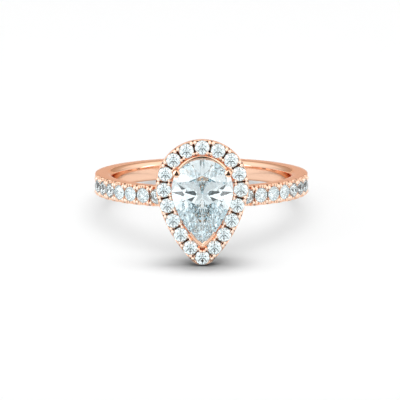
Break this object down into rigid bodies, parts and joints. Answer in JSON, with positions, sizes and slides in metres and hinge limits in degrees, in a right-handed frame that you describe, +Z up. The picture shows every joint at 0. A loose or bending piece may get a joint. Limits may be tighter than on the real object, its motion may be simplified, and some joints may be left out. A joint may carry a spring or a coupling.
{
  "type": "halo engagement ring",
  "caption": "Rose gold ring with a pear-shaped centre stone in a V claw and two round claws, a halo of round brilliants and pave shoulders, lying on its halo tip.",
  "frame": {"origin": "middle of the bounding box at the height of the surface the ring lies on", "axes": "+X to the right seen from the head, -Y the way the head faces, +Z up; the ring lies on its halo tip and the back of the shank, its hole's axis 13 degrees off vertical"},
  "size_m": [0.0204, 0.024, 0.0117],
  "materials": {
    "rose_gold": "mirror-polished 14 carat rose gold with bright-cut beads",
    "diamond": "clear colourless faceted diamond"
  },
  "bodies": {
    "root": {"shank": "rose_gold", "halo_frame": "rose_gold", "bearing_rail": "rose_gold", "gallery_rail": "rose_gold", "collet": "rose_gold", "left_claw": "rose_gold", "right_claw": "rose_gold", "tip_claw": "rose_gold", "centre_stone": "diamond", "halo_stone_01": "diamond", "halo_stone_02": "diamond", "halo_stone_03": "diamond", "halo_stone_04": "diamond", "halo_stone_05": "diamond", "halo_stone_06": "diamond", "halo_stone_07": "diamond", "halo_stone_08": "diamond", "halo_stone_09": "diamond", "halo_stone_10": "diamond", "halo_stone_11": "diamond", "halo_stone_12": "diamond", "halo_stone_13": "diamond", "halo_stone_14": "diamond", "halo_stone_15": "diamond", "halo_stone_16": "diamond", "halo_stone_17": "diamond", "halo_stone_18": "diamond", "left_stone_01": "diamond", "left_stone_02": "diamond", "left_stone_03": "diamond", "left_stone_04": "diamond", "left_stone_05": "diamond", "left_stone_06": "diamond", "left_stone_07": "diamond", "right_stone_01": "diamond", "right_stone_02": "diamond", "right_stone_03": "diamond", "right_stone_04": "diamond", "right_stone_05": "diamond", "right_stone_06": "diamond", "right_stone_07": "diamond"}
  },
  "joints": []
}
